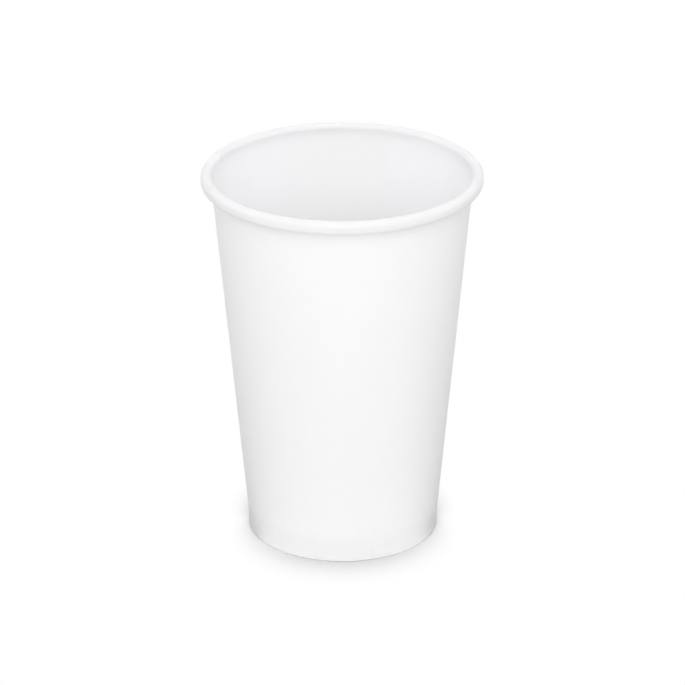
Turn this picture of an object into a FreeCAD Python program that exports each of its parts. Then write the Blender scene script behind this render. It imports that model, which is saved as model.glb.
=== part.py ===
"""Paper coffee cup, 80 mm rim, 110 mm tall, in millimetres.

The cup is two pieces of coated board. The sidewall is one fan-shaped sheet, wrapped into a cone and lapped
on itself down one side, with a hem folded up inside the foot and the rim rolled outwards. The base disc is a
shallow pressed disc whose skirt stands between the sidewall and the hem. The origin is the centre of the foot
on the surface that the cup stands on, +Z is up along the axis, and -Y is the front.
"""

import FreeCAD, Part
import math
import os

import Sketcher
from FreeCAD import Placement, Rotation, Vector

ORIGIN = Vector(0, 0, 0)
UP = Vector(0, 0, 1)
SIDEWAYS = Vector(1, 0, 0)

document = FreeCAD.newDocument("paper_cup")

# Driving dimensions
SIZES = [
    ("rim_radius", 40.0, "outside of the rolled rim"),
    ("cup_height", 110.0, "floor to the top of the rim"),
    ("foot_radius", 27.6, "outside of the foot band"),
    ("band_height", 3.7, "height of the upright band at the foot"),
    ("board", 0.35, "thickness of the sidewall board"),
    ("crown_radius", 1.58, "radius of the upper half of the rim roll"),
    ("roll_depth", 3.7, "top of the rim to the underside of its roll"),
    ("runs_per_quarter", 3, "straight runs in a quarter turn of the roll"),
    ("fold_radius", 0.1, "inside radius of the fold at the foot"),
    ("hem_height", 6.0, "floor to the cut edge of the hem"),
    ("seam_place", 160.0, "degrees from +X to the inner cut edge of the lap"),
    ("lap_width", 7.2, "overlap of the side seam, measured round the rim"),
    ("ramp_width", 1.3, "run in which the outer ply climbs over the inner edge, round the rim"),
    ("press_start", 0.7, "height above which the lap is two full plies again, lower end"),
    ("press_end", 1.9, "the same, upper end"),
    ("base_board", 0.30, "thickness of the base board"),
    ("base_recess", 7.0, "floor to the underside of the base disc"),
    ("base_bend", 0.35, "leg of the bend under the disc's edge"),
    ("skirt_gap", 0.15, "gap from the skirt's cut edge to the fold"),
]

sizes = document.addObject("Spreadsheet::Sheet", "sizes")
for row, (alias, number, meaning) in enumerate(SIZES, start=1):
    sizes.set("A%d" % row, meaning)
    sizes.set("B%d" % row, str(number))
    sizes.setAlias("B%d" % row, alias)
document.recompute()


def turn_of(width_alias):
    """Angle in degrees that a width measured round the rim takes up."""
    return math.degrees(sizes.get(width_alias) / sizes.get("rim_radius"))


# Sketch helpers
START, END, CENTRE = 1, 2, 3
AXES = -1


class Outline:
    """A sketch drawn as a chain of lines and arcs, x outwards from the axis and y up."""

    def __init__(self, sketch):
        self.sketch = sketch
        self.edges = {}

    def line(self, name, start, end):
        segment = Part.LineSegment(Vector(start[0], start[1], 0), Vector(end[0], end[1], 0))
        self.edges[name] = self.sketch.addGeometry(segment)

    def arc(self, name, centre, radius, first, last):
        """An arc from the angle first to last, anticlockwise, in degrees."""
        circle = Part.Circle(Vector(centre[0], centre[1], 0), UP, radius)
        bow = Part.ArcOfCircle(circle, math.radians(first), math.radians(last))
        self.edges[name] = self.sketch.addGeometry(bow)

    def rule(self, kind, *where):
        """A constraint between named edges and their points, with its value last if it has one."""
        places = [self.edges[item] if isinstance(item, str) else item for item in where]
        return self.sketch.addConstraint(Sketcher.Constraint(kind, *places))

    def size(self, name, formula, kind, *where):
        """A dimension bound to the sheet."""
        index = self.rule(kind, *where, self.sketch.evalExpression(formula))
        self.sketch.renameConstraint(index, name)
        self.sketch.setExpression("Constraints." + name, formula)


def upright_sketch(name, turn):
    """A sketch on the upright plane through the axis, at an angle round it."""
    sketch = document.addObject("Sketcher::SketchObject", name)
    sketch.Placement = Placement(ORIGIN, Rotation(UP, turn) * Rotation(SIDEWAYS, 90))
    return sketch


def tangent_normal(foot_point, crown_centre, radius):
    """Direction from the crown's centre to where a line from the foot touches it on the inside."""
    across = crown_centre[0] - foot_point[0]
    rise = crown_centre[1] - foot_point[1]
    lean = math.atan2(rise, across) + math.asin(radius / math.hypot(across, rise))
    return lean + math.pi / 2


def board_path(name, turn, raised):
    """The inside face of the sidewall board in section, from the hem's edge to the tip of the roll.

    The raised path is that of the outer ply in the lap. It runs one board further out, except at the foot,
    where both plies are pressed down to one.
    """
    board = sizes.get("board")
    lift = board if raised else 0.0
    lift_formula = " + sizes.board" if raised else ""
    inset_formula = " - sizes.board" if raised else ""
    wall = sizes.get("foot_radius") - board
    hem = wall - sizes.get("base_board")
    fold = sizes.get("fold_radius")
    band = sizes.get("band_height")
    crown = sizes.get("crown_radius")
    under = crown - board
    crown_centre = (sizes.get("rim_radius") - crown, sizes.get("cup_height") - crown)
    under_centre = (
        sizes.get("rim_radius") - under,
        sizes.get("cup_height") - sizes.get("roll_depth") + under,
    )
    knee = (wall + lift, band)
    touch = tangent_normal(knee, crown_centre, crown - lift)
    slope = math.tan(touch - math.pi / 2)
    touch_point = (
        crown_centre[0] + (crown - lift) * math.cos(touch),
        crown_centre[1] + (crown - lift) * math.sin(touch),
    )
    hem_edge = (hem + (sizes.get("hem_height") - band) / slope, sizes.get("hem_height"))
    side = sizes.get("rim_radius") - lift

    path = Outline(upright_sketch(name, turn))
    path.line("hem_cone", hem_edge, (hem, band))
    path.line("hem_band", (hem, band), (hem, board + fold))
    path.arc("fold_in", (hem + fold, board + fold), fold, 180, 270)
    path.line("fold_flat", (hem + fold, board), (wall - fold, board))
    path.arc("fold_out", (wall - fold, board + fold), fold, 270, 360)
    path.line("foot_band", (wall, board + fold), (wall, sizes.get("press_start")))
    path.line("press", (wall, sizes.get("press_start")), (wall + lift, sizes.get("press_end")))
    path.line("upper_band", (wall + lift, sizes.get("press_end")), knee)
    path.line("cone", knee, touch_point)
    path.arc("crown_in", crown_centre, crown - lift, 90, math.degrees(touch))
    path.arc("crown_out", crown_centre, crown - lift, 0, 90)
    path.line("roll_side", (side, crown_centre[1]), (side, under_centre[1]))
    path.arc("under_out", under_centre, under - lift, 270, 360)
    path.arc("under_in", under_centre, under - lift, 180, 270)

    # The chain. An arc's own start and end go anticlockwise, so the roll's arcs are met end first.
    path.rule("Coincident", "hem_cone", END, "hem_band", START)
    path.rule("Tangent", "hem_band", END, "fold_in", START)
    path.rule("Tangent", "fold_in", END, "fold_flat", START)
    path.rule("Tangent", "fold_flat", END, "fold_out", START)
    path.rule("Tangent", "fold_out", END, "foot_band", START)
    path.rule("Coincident", "foot_band", END, "press", START)
    path.rule("Coincident", "press", END, "upper_band", START)
    path.rule("Coincident", "upper_band", END, "cone", START)
    path.rule("Tangent", "cone", END, "crown_in", END)
    path.rule("Coincident", "crown_in", START, "crown_out", END)
    path.rule("Coincident", "crown_in", CENTRE, "crown_out", CENTRE)
    path.rule("Tangent", "crown_out", START, "roll_side", START)
    path.rule("Tangent", "roll_side", END, "under_out", END)
    path.rule("Coincident", "under_out", START, "under_in", END)
    path.rule("Coincident", "under_out", CENTRE, "under_in", CENTRE)

    # Directions
    path.rule("Parallel", "hem_cone", "cone")
    path.rule("Vertical", "hem_band")
    path.rule("Horizontal", "fold_flat")
    path.rule("Vertical", "foot_band")
    path.rule("Vertical", "upper_band")
    path.rule("Vertical", "crown_in", START, "crown_in", CENTRE)
    path.rule("Vertical", "roll_side")
    path.rule("Vertical", "under_out", START, "under_out", CENTRE)
    path.rule("Horizontal", "under_in", START, "under_in", CENTRE)

    # Sizes
    path.size("hem_top", "sizes.hem_height", "DistanceY", AXES, START, "hem_cone", START)
    path.size("hem_knee", "sizes.band_height", "DistanceY", AXES, START, "hem_cone", END)
    path.size(
        "hem_place",
        "sizes.foot_radius - sizes.board - sizes.base_board",
        "DistanceX", AXES, START, "hem_band", END,
    )
    path.size("fold_start", "sizes.fold_radius", "Radius", "fold_in")
    path.size("fold_finish", "sizes.fold_radius", "Radius", "fold_out")
    path.size("fold_floor", "sizes.board", "DistanceY", AXES, START, "fold_flat", START)
    path.size(
        "wall_place",
        "sizes.foot_radius - sizes.board",
        "DistanceX", AXES, START, "foot_band", END,
    )
    path.size("press_low", "sizes.press_start", "DistanceY", AXES, START, "foot_band", END)
    path.size("press_high", "sizes.press_end", "DistanceY", AXES, START, "press", END)
    path.size(
        "upper_place",
        "sizes.foot_radius - sizes.board" + lift_formula,
        "DistanceX", AXES, START, "upper_band", END,
    )
    path.size("knee", "sizes.band_height", "DistanceY", AXES, START, "upper_band", END)
    path.size(
        "crown_place",
        "sizes.rim_radius - sizes.crown_radius",
        "DistanceX", AXES, START, "crown_in", CENTRE,
    )
    path.size(
        "crown_level",
        "sizes.cup_height - sizes.crown_radius",
        "DistanceY", AXES, START, "crown_in", CENTRE,
    )
    path.size("crown", "sizes.crown_radius" + inset_formula, "Radius", "crown_in")
    path.size(
        "under_level",
        "sizes.cup_height - sizes.roll_depth + sizes.crown_radius - sizes.board",
        "DistanceY", AXES, START, "under_in", CENTRE,
    )
    path.size("under", "sizes.crown_radius - sizes.board" + inset_formula, "Radius", "under_in")
    return path


def straight_runs(name, sketch):
    """The path with each arc drawn as straight runs: one in a fold, a few in each quarter of the roll.

    It goes from the hem, which is its lower end, to the tip of the roll.
    """
    points = []
    for edge in Part.sortEdges(sketch.Shape.Edges)[0]:
        first, last = edge.firstVertex(True).Point, edge.lastVertex(True).Point
        rounded = isinstance(edge.Curve, Part.Circle)
        coiled = rounded and edge.Curve.Radius > 2 * sizes.get("fold_radius")
        runs = int(sizes.get("runs_per_quarter")) if coiled else 1
        marks = edge.discretize(runs + 1)
        if marks[0].distanceToPoint(first) > marks[-1].distanceToPoint(first):
            marks.reverse()
        points += marks[:-1]
    points.append(last)
    if points[0].z > points[-1].z:
        points.reverse()
    runs = document.addObject("Part::Feature", name)
    runs.Shape = Part.makePolygon(points)
    return runs


def thickened(name, runs):
    """The board's section: the path widened by the board's thickness, with mitred corners."""
    section = document.addObject("Part::Offset2D", name)
    section.Source = runs
    section.Mode = "Skin"
    section.Join = "Intersection"
    section.Fill = True
    section.setExpression("Value", "-sizes.board")
    return section


def turned(name, section, axis, formula):
    """A section turned about the cup's axis."""
    ring = document.addObject("Part::Revolution", name)
    ring.Source = section
    ring.Base = ORIGIN
    ring.Axis = axis
    ring.Solid = True
    ring.setExpression("Angle", formula)
    return ring


# Sidewall: one ply all the way round, a ramp over its own first edge, then the lap's outer ply.
ramp_turn = turn_of("ramp_width")
ply_path = board_path("ply_path", -ramp_turn, raised=False)
lap_path = board_path("lap_path", 0.0, raised=True)
taper = ply_path.rule("Angle", "cone", math.pi / 2)
ply_path.sketch.setDriving(taper, False)
ply_path.sketch.renameConstraint(taper, "taper")
document.recompute()

ply_section = thickened("ply_section", straight_runs("ply_runs", ply_path.sketch))
lap_section = thickened("lap_section", straight_runs("lap_runs", lap_path.sketch))
wrap = turned("wrap", ply_section, -UP, "360 - sizes.ramp_width / sizes.rim_radius * 180 / pi")
lap = turned("lap", lap_section, UP, "sizes.lap_width / sizes.rim_radius * 180 / pi")

ramp = document.addObject("Part::Loft", "ramp")
ramp.Sections = [ply_section, lap_section]
ramp.Solid = True
ramp.Ruled = True

sidewall = document.addObject("Part::MultiFuse", "sidewall")
sidewall.Label = "sidewall"
sidewall.Shapes = [wrap, lap, ramp]
sidewall.Refine = True
sidewall.Placement = Placement(ORIGIN, Rotation(UP, sizes.get("seam_place")))


# Base disc: a turned section that lies against the wall's inside and the hem.
def origin_plane(body, role):
    return next(item for item in body.Origin.OriginFeatures if item.Role == role)


base_disc = document.addObject("PartDesign::Body", "base_disc")
base_disc.Label = "base_disc"
base_sketch = base_disc.newObject("Sketcher::SketchObject", "base_section")
base_sketch.AttachmentSupport = [(origin_plane(base_disc, "XZ_Plane"), "")]
base_sketch.MapMode = "FlatFace"
document.recompute()

slope = math.tan(math.radians(ply_path.sketch.getDatum(taper).Value))
bend = sizes.get("base_bend")
skin = sizes.get("base_board")
outer = sizes.get("foot_radius") - sizes.get("board")
inner = outer - skin
knee_level = sizes.get("band_height")
under_face = sizes.get("base_recess")
top_face = under_face + skin
skirt_end = sizes.get("board") + sizes.get("skirt_gap")


def on_wall(radius, level):
    """A point on a face of the cone that starts at this radius at the knee."""
    return (radius + (level - knee_level) / slope, level)


# The corners of the bend are first drawn near their places, and the constraints settle them.
disc_rim = on_wall(outer, top_face - 2 * bend)
valley = on_wall(inner, under_face - bend)
base = Outline(base_sketch)
base.line("axis", (0, under_face), (0, top_face))
base.line("top", (0, top_face), (disc_rim[0] - 2 * bend, top_face))
base.line("bend_top", (disc_rim[0] - 2 * bend, top_face), disc_rim)
base.line("skirt_cone", disc_rim, (outer, knee_level))
base.line("skirt_band", (outer, knee_level), (outer, skirt_end))
base.line("skirt_edge", (outer, skirt_end), (inner, skirt_end))
base.line("hem_side", (inner, skirt_end), (inner, knee_level))
base.line("hem_cone", (inner, knee_level), valley)
base.line("bend_under", valley, (valley[0] - bend, under_face))
base.line("underside", (valley[0] - bend, under_face), (0, under_face))
names = list(base.edges)
for before, after in zip(names, names[1:] + names[:1]):
    base.rule("Coincident", before, END, after, START)
for flat in ("top", "skirt_edge", "underside"):
    base.rule("Horizontal", flat)
for upright in ("skirt_band", "hem_side"):
    base.rule("Vertical", upright)
base.rule("Parallel", "skirt_cone", "hem_cone")
base.rule("Parallel", "bend_top", "bend_under")
base.rule("PointOnObject", "axis", START, -2)
base.rule("PointOnObject", "axis", END, -2)
base.size("recess", "sizes.base_recess", "DistanceY", AXES, START, "axis", START)
base.size("disc_board", "sizes.base_board", "DistanceY", "axis", START, "axis", END)
base.size(
    "outer_place",
    "sizes.foot_radius - sizes.board",
    "DistanceX", AXES, START, "skirt_band", END,
)
base.size("skirt_board", "sizes.base_board", "DistanceX", "skirt_edge", END, "skirt_edge", START)
base.size("skirt_end", "sizes.board + sizes.skirt_gap", "DistanceY", AXES, START, "skirt_band", END)
base.size("outer_knee", "sizes.band_height", "DistanceY", AXES, START, "skirt_band", START)
base.size("inner_knee", "sizes.band_height", "DistanceY", AXES, START, "hem_side", END)
base.size("lean", "ply_path.Constraints.taper", "Angle", "hem_cone")
base.size("under_leg", "sizes.base_bend", "DistanceY", "hem_cone", END, "underside", START)
base.size("under_run", "sizes.base_bend", "DistanceX", "underside", START, "hem_cone", END)
base.size(
    "bend_board",
    "sizes.base_bend + sizes.base_board",
    "DistanceY", "skirt_cone", START, "top", END,
)

disc = base_disc.newObject("PartDesign::Revolution", "disc")
disc.Profile = base_sketch
disc.ReferenceAxis = (base_sketch, ["V_Axis"])
disc.Angle = 360
base_disc.Tip = disc

document.recompute()

# Tests before writing
for item in document.Objects:
    faults = {"Invalid", "Error"} & set(item.State)
    if faults:
        raise RuntimeError("%s is %s" % (item.Name, ", ".join(sorted(faults))))

NODES = [sidewall, base_disc]
for node in NODES:
    if node.Shape.isNull() or not node.Shape.isValid() or len(node.Shape.Solids) != 1:
        raise RuntimeError("%s is not one valid solid" % node.Label)

os.makedirs("parts", exist_ok=True)
for node in NODES:
    node.Shape.exportStep("parts/%s.step" % node.Label)
    print("%s: %.1f mm3, %d faces" % (node.Label, node.Shape.Volume, len(node.Shape.Faces)))
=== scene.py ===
"""Paper coffee cup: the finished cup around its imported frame, in metres.

The sidewall is one sheet of coated board, wrapped into a cone and lapped on itself, with a rolled rim and a
hem folded up inside the foot. The base disc is a shallow pressed disc, and its skirt stands between them.
"""

import math

import bpy
from bpy.props import FloatProperty, FloatVectorProperty, IntProperty, PointerProperty
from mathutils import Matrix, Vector


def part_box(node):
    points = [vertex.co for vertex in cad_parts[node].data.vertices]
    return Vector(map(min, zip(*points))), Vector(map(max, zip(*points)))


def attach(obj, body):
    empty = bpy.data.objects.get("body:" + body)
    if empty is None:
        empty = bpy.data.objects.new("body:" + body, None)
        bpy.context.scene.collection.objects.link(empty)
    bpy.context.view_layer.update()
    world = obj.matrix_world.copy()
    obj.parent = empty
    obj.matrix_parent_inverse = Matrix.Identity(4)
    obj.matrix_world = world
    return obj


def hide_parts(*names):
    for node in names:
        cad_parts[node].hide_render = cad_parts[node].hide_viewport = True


bl_info = {
    "name": "Paper coffee cup",
    "version": (1, 0, 0),
    "blender": (4, 5, 0),
    "location": "3D View > Sidebar > Cup",
    "description": "Builds a paper coffee cup from lapped and pressed board, and a white stage for it",
    "category": "Add Mesh",
}

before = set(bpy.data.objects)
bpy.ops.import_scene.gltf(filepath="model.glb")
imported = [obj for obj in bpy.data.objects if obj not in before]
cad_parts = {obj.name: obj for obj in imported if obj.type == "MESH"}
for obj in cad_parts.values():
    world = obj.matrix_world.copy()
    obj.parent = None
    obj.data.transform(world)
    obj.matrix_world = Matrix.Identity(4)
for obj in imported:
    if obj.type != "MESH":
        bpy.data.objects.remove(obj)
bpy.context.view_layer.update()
sidewall_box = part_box("sidewall")
base_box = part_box("base_disc")
rim_reach = min(*sidewall_box[1].xy, *(-sidewall_box[0]).xy)

ORIGIN = Vector((0, 0, 0))
UP = Vector((0, 0, 1))
SPECK = 1e-6
FULL_TURN = 2 * math.pi
SMOOTH_BELOW = math.radians(35)


def length(name, description, default):
    return FloatProperty(
        name=name, description=description, default=default, min=0.0, precision=5, unit="LENGTH"
    )


def angle(name, description, degrees):
    return FloatProperty(
        name=name, description=description, default=math.radians(degrees), subtype="ANGLE"
    )


def colour(name, description, default):
    return FloatVectorProperty(
        name=name, description=description, default=default, size=3, min=0.0, max=1.0, subtype="COLOR"
    )


def share(name, description, default):
    return FloatProperty(
        name=name, description=description, default=default, min=0.0, max=1.0, subtype="FACTOR"
    )


def power(name, description, default):
    return FloatProperty(name=name, description=description, default=default, min=0.0, unit="POWER")


class CupSizes(bpy.types.PropertyGroup):
    """Sizes of the cup and of its board."""

    rim_radius: length("Rim radius", "Outside of the rolled rim", rim_reach)
    cup_height: length("Height", "Floor to the top of the rim", sidewall_box[1].z)
    foot_radius: length("Foot radius", "Outside of the foot band", 0.0276)
    band_height: length("Foot band", "Height of the upright band at the foot", 0.0037)
    knee_blend: length("Knee", "How far the bend from band to cone reaches each way", 0.0016)
    board: length("Board", "Thickness of the sidewall board", 0.00035)
    crown_radius: length("Crown", "Radius of the upper half of the rim roll", 0.00158)
    roll_depth: length("Roll depth", "Top of the rim to the underside of its roll", 0.0037)
    fold_radius: length("Fold", "Inside radius of the fold at the foot", 0.0001)
    hem_height: length("Hem", "Floor to the cut edge of the hem", 0.006)
    groove_depth: length("Groove", "Depth of the upright grooves that are pressed round the hem", 0.00014)
    seam_place: angle("Seam", "Angle from the cup's right side to the inner cut edge of the lap", 160.0)
    lap_width: length("Lap", "Overlap of the side seam, measured round the rim", 0.0072)
    ramp_width: length("Ramp", "Run in which the outer ply climbs over the inner edge", 0.0013)
    press_start: length("Press, low end", "Height at which the lap starts to part into two plies", 0.0007)
    press_end: length("Press, high end", "Height at which the lap is two full plies", 0.0019)
    base_board: length("Base board", "Thickness of the base board", 0.0003)
    base_top: length("Base top", "Floor to the upper face of the base disc", base_box[1].z)
    base_bend: length("Base bend", "Outside radius of the bend at the disc's edge", 0.00065)
    skirt_end: length("Skirt end", "Floor to the cut edge of the disc's skirt", base_box[0].z)
    segments: IntProperty(name="Segments", description="Faces in a full turn", default=216, min=24)
    arc_steps: IntProperty(name="Arc steps", description="Faces in half a roll", default=18, min=4)


class CupColours(bpy.types.PropertyGroup):
    """Colours of the board's faces, as they look in plain light."""

    board: colour("Board", "Outside face of the board", (0.926, 0.9245, 0.925))
    board_shade: colour("Board, denser", "Outside face where the fibres lie thicker", (0.919, 0.918, 0.9195))
    film: colour("Coating", "Coated inside face, which the roll turns outwards", (0.962, 0.961, 0.968))
    film_shade: colour("Coating, denser", "Coated face where the fibres lie thicker", (0.955, 0.9545, 0.963))
    edge: colour("Cut edge", "Raw fibres on a cut edge", (0.82, 0.815, 0.8))
    edge_shade: colour("Cut edge, darker", "Gaps between the plies on a cut edge", (0.68, 0.67, 0.645))
    # Painted shadow: table colours that the camera sees only inside the cup's shadow, darker in front of the
    # foot than beside it; the lamps shade them as well
    shadow_paint_front: colour("Table, front", "Table top in the cup's shadow, before the foot", (0.61, 0.61, 0.61))
    shadow_paint_side: colour("Table, sides", "Table top in the cup's shadow, beside the foot", (0.93, 0.93, 0.93))
    sheet: colour("White sheet", "Pale sheet in front and behind, which lights the cup", (0.95, 0.95, 0.95))
    front_light: colour("Front light", "Light of the softbox in front", (1.0, 1.0, 1.0))
    side_light: colour("Side light", "Light of the softboxes at the sides", (0.955, 0.955, 1.0))
    card: colour("Dark card", "Cards at both sides, which shade the cup's outline", (0.32, 0.32, 0.32))


class CupStage(bpy.types.PropertyGroup):
    """Camera, light and table top."""

    camera_distance: length("Distance", "Camera to the cup's axis", 1.059)
    camera_height: angle("Elevation", "Camera above the horizon", 24.07)
    camera_roll: angle("Roll", "Turn of the camera about its own axis", -0.137)
    aim_height: length("Aim", "Height of the point that the camera looks at", 0.0568)
    lens: FloatProperty(name="Lens", description="Focal length in millimetres", default=192.9, min=1.0)
    table_size: length("Table", "Side of the table top", 6.0)
    # Reach of the painted shadow round the foot, beyond which the table is plain white to the camera
    painted_shadow_side: length("Shadow, sides", "Width of the cup's shadow at each side of the foot", 0.005)
    painted_shadow_front: length("Shadow, front", "Width of the cup's shadow in front of the foot", 0.0167)
    room_light: share("Room light", "Plain light from all round", 0.7)
    horizon: angle("Horizon", "Height above or below the horizon at which the room's light begins", 12.0)
    box_distance: length("Softbox distance", "Softboxes to the cup", 1.3)
    front_height: angle("Front softbox height", "Softbox in front, above the horizon", 38.0)
    side_height: angle("Side softbox height", "Softboxes at the sides, above the horizon", 27.0)
    box_width: length("Softbox width", "Width of each softbox", 1.05)
    box_depth: length("Softbox depth", "Other side of each softbox", 1.0)
    front_power: power("Front softbox", "Power of the softbox in front", 7.2)
    side_power: power("Side softboxes", "Power of the softbox at each side", 3.75)


# Drawing


def place(radius, height, turn):
    return Vector((radius * math.cos(turn), radius * math.sin(turn), height))


def new_object(name):
    """A new empty mesh, open in edit mode."""
    if bpy.context.object and bpy.context.object.mode != "OBJECT":
        bpy.ops.object.mode_set(mode="OBJECT")
    bpy.ops.object.select_all(action="DESELECT")
    bpy.ops.mesh.primitive_plane_add(size=SPECK, location=ORIGIN)
    piece = bpy.context.object
    piece.name = name
    piece.data.name = name
    bpy.ops.object.mode_set(mode="EDIT")
    bpy.ops.mesh.select_mode(type="VERT")
    bpy.ops.mesh.delete(type="VERT")
    return piece


def draw_chain(points):
    """A chain of edges. A speck of a plane is merged to one corner, and extruded from point to point."""
    bpy.ops.mesh.primitive_plane_add(size=SPECK, location=points[0])
    bpy.ops.mesh.merge(type="CENTER")
    for here, there in zip(points, points[1:]):
        bpy.ops.mesh.extrude_region_move(TRANSFORM_OT_translate={"value": there - here})


def put_away(finish):
    """Gives the faces in work their finish, and hides them so that the next ones can be drawn alone."""
    piece = bpy.context.object
    bpy.ops.mesh.select_all(action="SELECT")
    piece.active_material_index = piece.data.materials.find(finish.name)
    bpy.ops.object.material_slot_assign()
    bpy.ops.mesh.hide(unselected=False)


def sweep(section, first, last, finish):
    """Turns a section, as (radius, height) points, about the cup's axis from the angle first to last."""
    steps = max(1, round(bpy.context.scene.cup_sizes.segments * (last - first) / FULL_TURN))
    draw_chain([place(radius, height, first) for radius, height in section])
    bpy.ops.mesh.select_all(action="SELECT")
    bpy.ops.mesh.spin(steps=steps, angle=first - last, center=ORIGIN, axis=UP)
    put_away(finish)


def bridge(sections, finish):
    """Joins sections, each as (turn, points), by strips of faces."""
    for turn, section in sections:
        draw_chain([place(radius, height, turn) for radius, height in section])
    bpy.ops.mesh.select_all(action="SELECT")
    bpy.ops.mesh.bridge_edge_loops()
    put_away(finish)


def close_up():
    """Merges what meets, turns the faces outwards, and leaves edit mode with crisp cut edges."""
    bpy.ops.mesh.reveal()
    bpy.ops.mesh.select_all(action="SELECT")
    bpy.ops.mesh.remove_doubles(threshold=SPECK)
    bpy.ops.mesh.normals_make_consistent(inside=False)
    bpy.ops.object.mode_set(mode="OBJECT")
    bpy.ops.object.shade_smooth_by_angle(angle=SMOOTH_BELOW)


def arc(centre, radius, first, last, steps):
    """Points on an arc, both ends included, as (radius, height)."""
    turns = [first + (last - first) * step / steps for step in range(steps + 1)]
    return [(centre[0] + radius * math.cos(turn), centre[1] + radius * math.sin(turn)) for turn in turns]


def ease(part):
    """A smooth step from 0 to 1."""
    return part * part * (3 - 2 * part)


def soft_corner(before, corner, after, reach, steps=4):
    """A corner rounded over a reach each way."""
    corner = Vector(corner)
    start = corner + (Vector(before) - corner).normalized() * reach
    finish = corner + (Vector(after) - corner).normalized() * reach
    marks = [step / steps for step in range(steps + 1)]
    return [
        tuple(start * (1 - mark) ** 2 + corner * 2 * mark * (1 - mark) + finish * mark**2) for mark in marks
    ]


def offset(path, distance):
    """The path moved to its right by a distance, with mitred corners."""
    points = [Vector(point) for point in path]
    sides = []
    for here, there in zip(points, points[1:]):
        along = (there - here).normalized()
        sides.append(Vector((along.y, -along.x)))
    sides = [sides[0], *sides, sides[-1]]
    return [
        tuple(point + (before + after) * distance / (1 + before.dot(after)))
        for point, before, after in zip(points, sides, sides[1:])
    ]


# Sidewall

CONE_STEPS = 12
FOLD_STEPS = 5
PRESS_STEPS = 6
RAMP_STEPS = 6

# Grooves round the hem: their lower end, the run in which they come to full depth, the share of the knee
# that they reach into, and their spacing in faces
GROOVE_LOW = 0.001
GROOVE_RUN_OUT = 0.0004
GROOVE_IN_KNEE = 0.8
GROOVE_SPACING = 3


def lean_of_cone(knee, crown_centre, radius):
    """Angle above the horizon of the wall, from its knee to where it touches the crown on the inside."""
    across = crown_centre[0] - knee[0]
    rise = crown_centre[1] - knee[1]
    return math.atan2(rise, across) + math.asin(radius / math.hypot(across, rise))


def inside_face(cup, lift):
    """The board's inside face in section, from the hem's cut edge to the tip of the roll.

    The lift is how far the ply runs outside the plain wall. At the foot both plies are pressed down to one.
    """
    wall = cup.foot_radius - cup.board
    hem = wall - cup.base_board
    fold = cup.fold_radius
    crown = cup.crown_radius
    under = crown - cup.board
    crown_centre = (cup.rim_radius - crown, cup.cup_height - crown)
    under_centre = (cup.rim_radius - under, cup.cup_height - cup.roll_depth + under)
    knee = (wall + lift, cup.band_height)
    hem_knee = (hem, cup.band_height)
    lean = lean_of_cone(knee, crown_centre, crown - lift)
    touch = lean + math.pi / 2
    hem_edge = (hem + (cup.hem_height - cup.band_height) / math.tan(lean), cup.hem_height)
    press = [
        (wall + lift * ease(step / PRESS_STEPS),
         cup.press_start + (cup.press_end - cup.press_start) * step / PRESS_STEPS)
        for step in range(PRESS_STEPS + 1)
    ]
    crown_face = arc(crown_centre, crown - lift, touch, 0, cup.arc_steps)
    knee_face = soft_corner((knee[0], 0), knee, crown_face[0], cup.knee_blend)
    cone = [
        tuple(Vector(knee_face[-1]).lerp(Vector(crown_face[0]), step / CONE_STEPS))
        for step in range(1, CONE_STEPS)
    ]
    return [
        hem_edge,
        *soft_corner(hem_edge, hem_knee, (hem, 0), cup.knee_blend),
        (hem, GROOVE_LOW + GROOVE_RUN_OUT),
        (hem, GROOVE_LOW),
        *arc((hem + fold, cup.board + fold), fold, math.pi, 1.5 * math.pi, FOLD_STEPS),
        *arc((wall - fold, cup.board + fold), fold, -0.5 * math.pi, 0, FOLD_STEPS),
        *press,
        *knee_face,
        *cone,
        *crown_face,
        *arc(under_centre, under - lift, 0, -math.pi, cup.arc_steps),
    ]


def board_faces(cup, lift):
    """The four faces of the board in section: inside, outside and the cut edges of hem and tip."""
    inside = inside_face(cup, lift)
    outside = offset(inside, cup.board)
    return {
        "inside": inside,
        "outside": outside,
        "hem_edge": [inside[0], outside[0]],
        "tip_edge": [inside[-1], outside[-1]],
    }


def press_grooves(piece, cup, start):
    """Presses upright grooves into the hem's visible face, as the wheel that closes the foot does."""
    middle_of_board = cup.foot_radius - cup.board - cup.base_board - 0.5 * cup.board
    high = cup.band_height + GROOVE_IN_KNEE * cup.knee_blend
    bpy.ops.object.mode_set(mode="EDIT")
    bpy.ops.mesh.select_all(action="DESELECT")
    bpy.ops.object.mode_set(mode="OBJECT")
    for vertex in piece.data.vertices:
        across = vertex.co.xy.length
        if across < middle_of_board and GROOVE_LOW + SPECK < vertex.co.z < high:
            turn = (math.atan2(vertex.co.y, vertex.co.x) - start) % FULL_TURN
            vertex.select = round(turn * cup.segments / FULL_TURN) % GROOVE_SPACING == 0
    bpy.ops.object.mode_set(mode="EDIT")
    wider = 1 + cup.groove_depth / middle_of_board
    bpy.ops.transform.resize(value=(wider, wider, 1), center_override=ORIGIN)
    bpy.ops.object.mode_set(mode="OBJECT")


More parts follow.
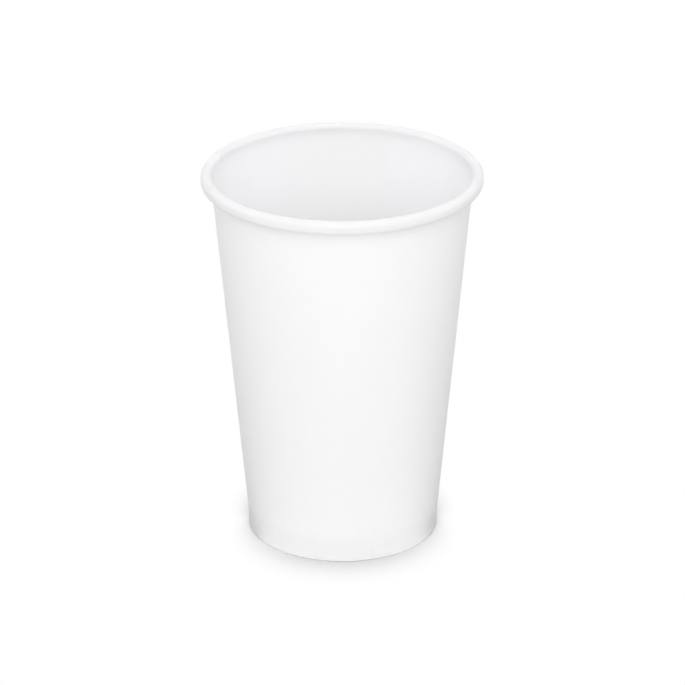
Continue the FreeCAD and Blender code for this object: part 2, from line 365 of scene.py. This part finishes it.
class OBJECT_OT_cup_sidewall(bpy.types.Operator):
    """Wrap one sheet of board into the lapped sidewall, with its rolled rim and folded hem"""

    bl_idname = "object.cup_sidewall"
    bl_label = "Sidewall"

    def execute(self, context):
        cup = context.scene.cup_sizes
        plain, film, raw = board_finish(), film_finish(), edge_finish()
        finish_of = {"inside": film, "outside": plain, "hem_edge": raw, "tip_edge": raw}
        piece = new_object("sidewall_sheet")
        for finish in (plain, film, raw):
            piece.data.materials.append(finish)

        seam = cup.seam_place
        lap_end = seam + cup.lap_width / cup.rim_radius
        ramp_turn = cup.ramp_width / cup.rim_radius
        single = board_faces(cup, 0.0)
        raised = board_faces(cup, cup.board)

        # The sheet's two cut edges, seen inside and outside the cup.
        bridge([(seam, single["inside"]), (seam, raised["inside"])], raw)
        bridge([(lap_end, single["outside"]), (lap_end, raised["outside"])], raw)

        # The ramp, in which the sheet climbs over its own first edge.
        marks = [step / RAMP_STEPS for step in range(RAMP_STEPS + 1)]
        climb = [(seam - ramp_turn * (1 - mark), board_faces(cup, cup.board * ease(mark))) for mark in marks]
        for face, finish in finish_of.items():
            bridge([(turn, faces[face]) for turn, faces in climb], finish)

        # The lap, two plies thick.
        sweep(single["inside"], seam, lap_end, film)
        sweep(raised["outside"], seam, lap_end, plain)
        sweep(single["hem_edge"], seam, lap_end, raw)
        sweep(single["tip_edge"], seam, lap_end, raw)
        sweep(raised["tip_edge"], seam, lap_end, raw)

        # One ply, from the outer cut edge of the lap round to the foot of the ramp.
        for face, finish in reversed(finish_of.items()):
            sweep(single[face], lap_end, seam - ramp_turn + FULL_TURN, finish)

        close_up()
        press_grooves(piece, cup, lap_end)
        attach(piece, "root")
        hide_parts("sidewall")
        return {"FINISHED"}


# Base disc

BEND_STEPS = 6
DISC_RINGS = (0.25, 0.5, 0.75, 0.95)


class OBJECT_OT_cup_base(bpy.types.Operator):
    """Press the base disc, with its skirt turned down along the wall"""

    bl_idname = "object.cup_base"
    bl_label = "Base disc"

    def execute(self, context):
        cup = context.scene.cup_sizes
        wall = cup.foot_radius - cup.board
        crown = cup.crown_radius
        crown_centre = (cup.rim_radius - crown, cup.cup_height - crown)
        lean = lean_of_cone((wall, cup.band_height), crown_centre, crown)
        bend = cup.base_bend
        level = cup.base_top - bend
        corner = (wall + (cup.base_top - cup.band_height) / math.tan(lean), cup.base_top)

        # The bend's centre lies one radius below the disc and one radius inside the cone.
        centre = (corner[0] - bend * (1 + math.cos(lean)) / math.sin(lean), level)
        outer_face = [
            (0, cup.base_top),
            *[(centre[0] * part, cup.base_top) for part in DISC_RINGS],
            *arc(centre, bend, 0.5 * math.pi, lean - 0.5 * math.pi, BEND_STEPS),
            *soft_corner(corner, (wall, cup.band_height), (wall, 0), cup.knee_blend),
            (wall, cup.skirt_end),
        ]
        inner_face = offset(outer_face, cup.base_board)
        film, plain, raw = film_finish(), board_finish(), edge_finish()
        piece = new_object("base_disc_board")
        for finish in (film, plain, raw):
            piece.data.materials.append(finish)
        sweep(outer_face, 0, FULL_TURN, film)
        sweep(inner_face, 0, FULL_TURN, plain)
        sweep([outer_face[-1], inner_face[-1]], 0, FULL_TURN, raw)
        close_up()
        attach(piece, "root")
        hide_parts("base_disc")
        return {"FINISHED"}


# Finishes


def node(tree, kind, values=None, **settings):
    """A new node with its settings and the values of its inputs."""
    made = tree.nodes.new(kind)
    for name, value in settings.items():
        setattr(made, name, value)
    for name, value in (values or {}).items():
        made.inputs[name].default_value = value
    return made


def opaque(shade):
    """A colour of three values with its alpha."""
    return (*shade, 1.0)


# How far light spreads inside the board, and the share of it that does
SEEPING_REACH = 0.001
SEEPING_LIGHT = 0.55

# Direction in which each of the two sets of fibres runs, as the stretch of its noise
FIBRE_RUNS = ((1.0, 1.0, 0.22), (0.3, 0.3, 1.0))


def fibre_group():
    """Board surface: fine crossed fibres as a height, and the cloudy spread of the fibres as a mask."""
    found = bpy.data.node_groups.get("board_fibres")
    if found:
        return found
    tree = bpy.data.node_groups.new("board_fibres", "ShaderNodeTree")
    made = tree.interface.new_socket
    made(name="Vector", in_out="INPUT", socket_type="NodeSocketVector")
    made(name="Fibre Scale", in_out="INPUT", socket_type="NodeSocketFloat")
    made(name="Cloud Scale", in_out="INPUT", socket_type="NodeSocketFloat")
    made(name="Fibres", in_out="OUTPUT", socket_type="NodeSocketFloat")
    made(name="Clouds", in_out="OUTPUT", socket_type="NodeSocketFloat")
    link = tree.links.new
    start = node(tree, "NodeGroupInput")
    end = node(tree, "NodeGroupOutput")

    ridges = []
    for stretch in FIBRE_RUNS:
        mapping = node(tree, "ShaderNodeMapping", {"Scale": stretch})
        noise = node(tree, "ShaderNodeTexNoise", {"Detail": 3.0, "Roughness": 0.6, "Distortion": 0.8})
        ridge = node(tree, "ShaderNodeMath", {1: 0.5}, operation="SUBTRACT")
        size = node(tree, "ShaderNodeMath", operation="ABSOLUTE")
        link(start.outputs["Vector"], mapping.inputs["Vector"])
        link(mapping.outputs["Vector"], noise.inputs["Vector"])
        link(start.outputs["Fibre Scale"], noise.inputs["Scale"])
        link(noise.outputs["Fac"], ridge.inputs[0])
        link(ridge.outputs["Value"], size.inputs[0])
        ridges.append(size)
    lower = node(tree, "ShaderNodeMath", operation="MINIMUM")
    crest = {"From Min": 0.0, "From Max": 0.12, "To Min": 1.0, "To Max": 0.0}
    fibres = node(tree, "ShaderNodeMapRange", crest)
    link(ridges[0].outputs["Value"], lower.inputs[0])
    link(ridges[1].outputs["Value"], lower.inputs[1])
    link(lower.outputs["Value"], fibres.inputs["Value"])
    link(fibres.outputs["Result"], end.inputs["Fibres"])

    clouds = node(tree, "ShaderNodeTexNoise", {"Detail": 4.0, "Roughness": 0.55})
    contrast = node(tree, "ShaderNodeMapRange", {"From Min": 0.32, "From Max": 0.68})
    link(start.outputs["Vector"], clouds.inputs["Vector"])
    link(start.outputs["Cloud Scale"], clouds.inputs["Scale"])
    link(clouds.outputs["Fac"], contrast.inputs["Value"])
    link(contrast.outputs["Result"], end.inputs["Clouds"])
    return tree


def paper(name, pale, shade, fibre_scale, cloud_scale, roughness, relief, shine):
    """A board finish: colour by its clouds, roughness by its fibres, and a relief of its fibres."""
    found = bpy.data.materials.get(name)
    if found:
        return found
    finish = bpy.data.materials.new(name)
    finish.use_nodes = True
    tree = finish.node_tree
    tree.nodes.clear()
    link = tree.links.new
    where = node(tree, "ShaderNodeTexCoord")
    fibres = node(
        tree,
        "ShaderNodeGroup",
        {"Fibre Scale": fibre_scale, "Cloud Scale": cloud_scale},
        node_tree=fibre_group(),
    )
    tint = node(tree, "ShaderNodeMix", {"A": opaque(pale), "B": opaque(shade)}, data_type="RGBA")
    rough = node(tree, "ShaderNodeMapRange", {"To Min": roughness[0], "To Max": roughness[1]})
    bump = node(tree, "ShaderNodeBump", {"Strength": relief[0], "Distance": relief[1]})
    shader = node(
        tree,
        "ShaderNodeBsdfPrincipled",
        {
            "Specular IOR Level": shine,
            "IOR": 1.5,
            "Subsurface Weight": SEEPING_LIGHT,
            "Subsurface Radius": (1.0, 1.0, 1.0),
            "Subsurface Scale": SEEPING_REACH,
        },
    )
    out = node(tree, "ShaderNodeOutputMaterial")
    link(where.outputs["Object"], fibres.inputs["Vector"])
    link(fibres.outputs["Clouds"], tint.inputs["Factor"])
    link(fibres.outputs["Fibres"], rough.inputs["Value"])
    link(fibres.outputs["Fibres"], bump.inputs["Height"])
    link(tint.outputs["Result"], shader.inputs["Base Color"])
    link(rough.outputs["Result"], shader.inputs["Roughness"])
    link(bump.outputs["Normal"], shader.inputs["Normal"])
    link(shader.outputs["BSDF"], out.inputs["Surface"])
    return finish


def board_finish():
    colours = bpy.context.scene.cup_colours
    return paper(
        "uncoated_board",
        pale=colours.board,
        shade=colours.board_shade,
        fibre_scale=2600.0,
        cloud_scale=260.0,
        roughness=(0.55, 0.68),
        relief=(0.25, 2e-5),
        shine=0.2,
    )


def film_finish():
    colours = bpy.context.scene.cup_colours
    return paper(
        "coated_board",
        pale=colours.film,
        shade=colours.film_shade,
        fibre_scale=1500.0,
        cloud_scale=180.0,
        roughness=(0.32, 0.42),
        relief=(0.12, 2e-5),
        shine=0.35,
    )


def edge_finish():
    colours = bpy.context.scene.cup_colours
    return paper(
        "raw_cut_edge",
        pale=colours.edge,
        shade=colours.edge_shade,
        fibre_scale=9000.0,
        cloud_scale=4000.0,
        roughness=(0.8, 0.95),
        relief=(0.6, 4e-5),
        shine=0.2,
    )


# Stage

WHITE = (1.0, 1.0, 1.0, 1.0)

# Cosine of the turn from the front at which the table's dark cards end and its pale sheet begins
CARD_SIDE = 0.3
SHEET_SIDE = 0.65

# Power by which the painted shadow fades with the distance from the foot
PAINTED_SHADOW_FADING = 2.2

# Share of the horizon's height over which the room's light comes up, below it and above it
HORIZON_BLUR = 0.5

# Table sizes that the camera sees
CAMERA_REACH = 10


def white_for_camera(tree):
    """1 for what the camera sees directly, mirrored or through glass, and 0 for the light on the cup."""
    path = node(tree, "ShaderNodeLightPath")
    seen = node(tree, "ShaderNodeMath", operation="MAXIMUM")
    any_way = node(tree, "ShaderNodeMath", operation="MAXIMUM")
    tree.links.new(path.outputs["Is Camera Ray"], seen.inputs[0])
    tree.links.new(path.outputs["Is Glossy Ray"], seen.inputs[1])
    tree.links.new(seen.outputs["Value"], any_way.inputs[0])
    tree.links.new(path.outputs["Is Transmission Ray"], any_way.inputs[1])
    return any_way.outputs["Value"]


def room_light(stage):
    """The world: plain soft light except near the horizon, and plain white to the camera.

    The light from below reaches only the foot, because the table keeps it off everything else.
    """
    world = bpy.data.worlds.new("studio")
    bpy.context.scene.world = world
    world.use_nodes = True
    tree = world.node_tree
    tree.nodes.clear()
    link = tree.links.new
    where = node(tree, "ShaderNodeTexCoord")
    height = node(tree, "ShaderNodeSeparateXYZ")
    steepness = node(tree, "ShaderNodeMath", operation="ABSOLUTE")
    edge = math.sin(stage.horizon)
    level = node(
        tree,
        "ShaderNodeMapRange",
        {
            "From Min": edge * (1 - HORIZON_BLUR),
            "From Max": edge * (1 + HORIZON_BLUR),
            "To Min": 0.0,
            "To Max": stage.room_light,
        },
        interpolation_type="SMOOTHSTEP",
    )
    light = node(tree, "ShaderNodeBackground", {"Color": WHITE})
    white = node(tree, "ShaderNodeBackground", {"Color": WHITE, "Strength": 1.0})
    either = node(tree, "ShaderNodeMixShader")
    out = node(tree, "ShaderNodeOutputWorld")
    link(where.outputs["Generated"], height.inputs["Vector"])
    link(height.outputs["Z"], steepness.inputs[0])
    link(steepness.outputs["Value"], level.inputs["Value"])
    link(level.outputs["Result"], light.inputs["Strength"])
    link(white_for_camera(tree), either.inputs["Fac"])
    link(light.outputs["Background"], either.inputs[1])
    link(white.outputs["Background"], either.inputs[2])
    link(either.outputs["Shader"], out.inputs["Surface"])


def table_finish(stage, colours, cup):
    """White table top. To the camera it shows a painted shadow at the foot, darker colours lit by the lamps,
    which a mask fades into white round it.

    For the light that it throws on the cup it is a pale sheet in front and behind, and a dark card at each
    side. From below it can be seen through, and under the cup it lets light up into the recess of the foot.
    """
    finish = bpy.data.materials.new("white_table")
    finish.use_nodes = True
    tree = finish.node_tree
    tree.nodes.clear()
    link = tree.links.new
    where = node(tree, "ShaderNodeTexCoord")

    # How far the direction from the cup is to the front or back, which parts the sheet from the cards
    direction = node(tree, "ShaderNodeVectorMath", operation="NORMALIZE")
    along = node(tree, "ShaderNodeSeparateXYZ")
    frontward = node(tree, "ShaderNodeMath", operation="ABSOLUTE")
    sheet = node(
        tree,
        "ShaderNodeMapRange",
        {"From Min": CARD_SIDE, "From Max": SHEET_SIDE},
        interpolation_type="SMOOTHSTEP",
    )
    sides = {"A": opaque(colours.card), "B": opaque(colours.sheet)}
    paint = node(tree, "ShaderNodeMix", sides, data_type="RGBA")
    bounce = node(tree, "ShaderNodeBsdfDiffuse")
    link(where.outputs["Object"], direction.inputs[0])
    link(direction.outputs["Vector"], along.inputs["Vector"])
    link(along.outputs["Y"], frontward.inputs[0])
    link(frontward.outputs["Value"], sheet.inputs["Value"])
    link(sheet.outputs["Result"], paint.inputs["Factor"])
    link(paint.outputs["Result"], bounce.inputs["Color"])

    # The painted shadow: darker colours that the lamps also shade, full at the foot, faded out by a mask at
    # its reach, and white from there on
    away = node(tree, "ShaderNodeVectorMath", operation="LENGTH")
    reach = node(
        tree,
        "ShaderNodeMapRange",
        {"To Min": cup.foot_radius + stage.painted_shadow_side, "To Max": cup.foot_radius + stage.painted_shadow_front},
    )
    near = node(tree, "ShaderNodeMapRange", {"From Min": cup.foot_radius, "To Min": 1.0, "To Max": 0.0})
    fading = node(tree, "ShaderNodeMath", {1: PAINTED_SHADOW_FADING}, operation="POWER")
    # Painted shadow colour, darker in front of the foot than beside it
    painted_shadow_colours = {"A": opaque(colours.shadow_paint_side), "B": opaque(colours.shadow_paint_front)}
    painted_shadow_mix = node(tree, "ShaderNodeMix", painted_shadow_colours, data_type="RGBA")
    shadow = node(tree, "ShaderNodeBsdfDiffuse")
    white = node(tree, "ShaderNodeEmission", {"Color": WHITE, "Strength": 1.0})
    seen = node(tree, "ShaderNodeMixShader")
    link(where.outputs["Object"], away.inputs[0])
    link(frontward.outputs["Value"], reach.inputs["Value"])
    link(away.outputs["Value"], near.inputs["Value"])
    link(reach.outputs["Result"], near.inputs["From Max"])
    link(near.outputs["Result"], fading.inputs[0])
    link(fading.outputs["Value"], seen.inputs["Fac"])
    link(frontward.outputs["Value"], painted_shadow_mix.inputs["Factor"])
    link(painted_shadow_mix.outputs["Result"], shadow.inputs["Color"])
    link(white.outputs["Emission"], seen.inputs[1])
    link(shadow.outputs["BSDF"], seen.inputs[2])

    # Inside the ring on which the foot stands, the table lets the light through
    ring = cup.foot_radius - cup.fold_radius - cup.board
    under_foot = node(tree, "ShaderNodeMath", {1: ring}, operation="LESS_THAN")
    clear = node(tree, "ShaderNodeBsdfTransparent")
    thrown = node(tree, "ShaderNodeMixShader")
    link(away.outputs["Value"], under_foot.inputs[0])
    link(under_foot.outputs["Value"], thrown.inputs["Fac"])
    link(bounce.outputs["BSDF"], thrown.inputs[1])
    link(clear.outputs["BSDF"], thrown.inputs[2])

    either = node(tree, "ShaderNodeMixShader")
    side = node(tree, "ShaderNodeNewGeometry")
    both = node(tree, "ShaderNodeMixShader")
    out = node(tree, "ShaderNodeOutputMaterial")
    link(white_for_camera(tree), either.inputs["Fac"])
    link(thrown.outputs["Shader"], either.inputs[1])
    link(seen.outputs["Shader"], either.inputs[2])
    link(side.outputs["Backfacing"], both.inputs["Fac"])
    link(either.outputs["Shader"], both.inputs[1])
    link(clear.outputs["BSDF"], both.inputs[2])
    link(both.outputs["Shader"], out.inputs["Surface"])
    return finish


def softbox(name, stage, turn, height, watts, tint):
    """A broad lamp that faces the cup, at a turn from the front and a height above the horizon."""
    flat = stage.box_distance * math.cos(height)
    reach = Vector((flat * math.sin(turn), -flat * math.cos(turn), stage.box_distance * math.sin(height)))
    bpy.ops.object.light_add(type="AREA", location=reach + Vector((0, 0, stage.aim_height)))
    lamp = bpy.context.object
    lamp.name = name
    lamp.data.shape = "RECTANGLE"
    lamp.data.size = stage.box_width
    lamp.data.size_y = stage.box_depth
    lamp.data.energy = watts
    lamp.data.color = tint
    lamp.rotation_euler = (-reach).to_track_quat("-Z", "Y").to_euler()


class OBJECT_OT_cup_stage(bpy.types.Operator):
    """Set up the white table top, the soft light and the camera"""

    bl_idname = "object.cup_stage"
    bl_label = "Stage"

    def execute(self, context):
        stage = context.scene.cup_stage
        colours = context.scene.cup_colours
        cup = context.scene.cup_sizes
        bpy.ops.object.select_all(action="DESELECT")
        bpy.ops.mesh.primitive_plane_add(size=stage.table_size, location=ORIGIN)
        table = context.object
        table.name = "table_top"
        table.data.materials.append(table_finish(stage, colours, cup))
        room_light(stage)
        softbox("front_softbox", stage, 0.0, stage.front_height, stage.front_power, colours.front_light)
        for name, turn in (("right_softbox", 90), ("left_softbox", -90)):
            softbox(name, stage, math.radians(turn), stage.side_height, stage.side_power, colours.side_light)

        aim = Vector((0, 0, stage.aim_height))
        middle = Vector((0, 0, 0.5 * cup.cup_height))
        back = Vector((0, -math.cos(stage.camera_height), math.sin(stage.camera_height)))
        bpy.ops.object.camera_add(location=middle + back * stage.camera_distance)
        camera = context.object
        camera.name = "camera"
        camera.data.lens = stage.lens
        camera.data.clip_end = CAMERA_REACH * stage.table_size
        camera.rotation_euler = (aim - camera.location).to_track_quat("-Z", "Y").to_euler()
        camera.rotation_euler.rotate_axis("Z", stage.camera_roll)
        context.scene.camera = camera

        context.scene.view_settings.view_transform = "Standard"
        return {"FINISHED"}


class VIEW3D_PT_cup(bpy.types.Panel):
    """Pieces and sizes of the paper coffee cup"""

    bl_idname = "VIEW3D_PT_cup"
    bl_label = "Paper coffee cup"
    bl_space_type = "VIEW_3D"
    bl_region_type = "UI"
    bl_category = "Cup"

    def draw(self, context):
        layout = self.layout
        for operator in (OBJECT_OT_cup_sidewall, OBJECT_OT_cup_base, OBJECT_OT_cup_stage):
            layout.operator(operator.bl_idname)
        for group in (context.scene.cup_sizes, context.scene.cup_colours, context.scene.cup_stage):
            column = layout.column(align=True)
            for name in group.bl_rna.properties.keys():
                if name not in ("rna_type", "name"):
                    column.prop(group, name)


CLASSES = (
    CupSizes,
    CupColours,
    CupStage,
    OBJECT_OT_cup_sidewall,
    OBJECT_OT_cup_base,
    OBJECT_OT_cup_stage,
    VIEW3D_PT_cup,
)


def register():
    for each in CLASSES:
        bpy.utils.register_class(each)
    bpy.types.Scene.cup_sizes = PointerProperty(type=CupSizes)
    bpy.types.Scene.cup_colours = PointerProperty(type=CupColours)
    bpy.types.Scene.cup_stage = PointerProperty(type=CupStage)


def unregister():
    del bpy.types.Scene.cup_stage
    del bpy.types.Scene.cup_colours
    del bpy.types.Scene.cup_sizes
    for each in reversed(CLASSES):
        bpy.utils.unregister_class(each)


def main():
    register()
    bpy.ops.object.cup_sidewall()
    bpy.ops.object.cup_base()
    bpy.ops.object.cup_stage()


if __name__ == "__main__":
    main()
